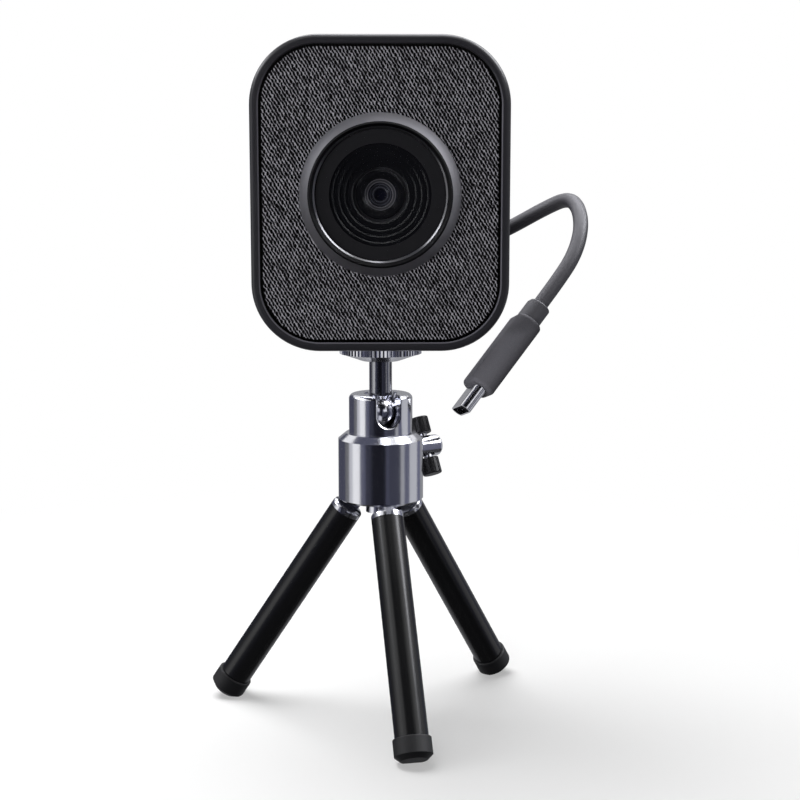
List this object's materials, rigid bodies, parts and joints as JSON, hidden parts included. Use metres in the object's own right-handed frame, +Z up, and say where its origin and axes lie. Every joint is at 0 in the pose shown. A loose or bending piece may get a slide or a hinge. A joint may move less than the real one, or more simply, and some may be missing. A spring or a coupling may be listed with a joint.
{
  "type": "webcam on tripod",
  "caption": "Fabric-fronted webcam with a stepped lens and a short plug lead, on a chrome ball head with a T-bar lock screw and folding tripod legs.",
  "frame": {"origin": "on the desk, under the tripod's axis", "axes": "+Z up along the ball stud, the lens faces -Y, the lock screw and cable are on the +X side"},
  "size_m": [0.0792, 0.0808, 0.1325],
  "materials": {
    "housing_plastic": "matte graphite",
    "fabric": "heathered charcoal weave",
    "bezel_coat": "satin graphite",
    "trim_metal": "bright turned",
    "cover_glass": "clear coated",
    "lens_glass": "coated",
    "hood_black": "gloss black",
    "inner_black": "matte black",
    "board_green": "solder mask",
    "sensor_face": "dark glossy",
    "ribbon_amber": "amber film",
    "steel": "plain",
    "brass": "plain",
    "cable_jacket": "matte grey",
    "plug_moulding": "matte grey",
    "plug_metal": "bright",
    "chrome": "polished",
    "leg_paint": "satin black",
    "foot_rubber": "matte black",
    "tip_plastic": "black"
  },
  "bodies": {
    "head": {"head_body": "chrome", "pressure_cup": "steel", "leg_hub": "chrome"},
    "ball": {"ball_stud": "chrome"},
    "wheel": {"lock_wheel": "chrome"},
    "webcam": {"housing_shell": "housing_plastic", "rear_cover": "housing_plastic", "front_panel": "inner_black", "front_fabric": "fabric", "lens_bezel": "bezel_coat", "trim_ring": "trim_metal", "cover_glass": "cover_glass", "lens_hood": "hood_black", "focus_mount": "inner_black", "image_sensor": "sensor_face", "sensor_board": "board_green", "sensor_board_screws": "steel", "main_board": "board_green", "main_board_screws": "steel", "board_chips": "inner_black", "ribbon_plugs": "inner_black", "ribbon": "ribbon_amber", "microphones": "steel", "tripod_insert": "brass", "cable_header": "inner_black", "inner_lead": "cable_jacket", "cable_gland": "cable_jacket", "cable": "cable_jacket", "plug_collar": "cable_jacket", "plug_grip": "plug_moulding", "plug_shell": "plug_metal", "plug_insulator": "inner_black"},
    "focus": {"lens_barrel": "hood_black", "front_lens_element": "lens_glass", "rear_lens_element": "lens_glass"},
    "lock": {"lock_screw": "chrome", "cross_bar": "chrome", "bar_tips": "tip_plastic"},
    "leg_front": {"leg_pin_front": "steel", "leg_cap_front": "chrome", "leg_tube_front": "leg_paint", "leg_foot_front": "foot_rubber"},
    "leg_right": {"leg_pin_right": "steel", "leg_cap_right": "chrome", "leg_tube_right": "leg_paint", "leg_foot_right": "foot_rubber"},
    "leg_left": {"leg_pin_left": "steel", "leg_cap_left": "chrome", "leg_tube_left": "leg_paint", "leg_foot_left": "foot_rubber"}
  },
  "joints": [
    {"name": "ball_tilt", "type": "hinge", "parent": "head", "child": "ball", "pos_m": [0, 0, 0.0606], "axis": [0.9613, 0.2756, 0], "range_deg": [-12, 90]},
    {"name": "wheel_turn", "type": "hinge", "parent": "ball", "child": "wheel", "pos_m": [0, 0, 0.073], "axis": [0, 0, 1], "continuous": true},
    {"name": "webcam_turn", "type": "hinge", "parent": "ball", "child": "webcam", "pos_m": [0, 0, 0.0765], "axis": [0, 0, 1], "continuous": true},
    {"name": "focus_slide", "type": "slide", "parent": "webcam", "child": "focus", "axis": [0, -1, 0], "range_m": [0, 0.0003], "stiffness_N_per_m": 5},
    {"name": "lock_turn", "type": "hinge", "parent": "head", "child": "lock", "pos_m": [0, 0, 0.0526], "axis": [0.8192, 0.5736, 0], "continuous": true},
    {"name": "leg_fold_front", "type": "hinge", "parent": "head", "child": "leg_front", "pos_m": [0.00126, -0.00688, 0.0409], "axis": [0.9836, 0.1805, 0], "range_deg": [0, 33.5]},
    {"name": "leg_fold_right", "type": "hinge", "parent": "head", "child": "leg_right", "pos_m": [0.00524, 0.00464, 0.0409], "axis": [-0.6626, 0.749, 0], "range_deg": [0, 33.5]},
    {"name": "leg_fold_left", "type": "hinge", "parent": "head", "child": "leg_left", "pos_m": [-0.00681, 0.00163, 0.0409], "axis": [-0.2334, -0.9724, 0], "range_deg": [0, 33.5]}
  ]
}
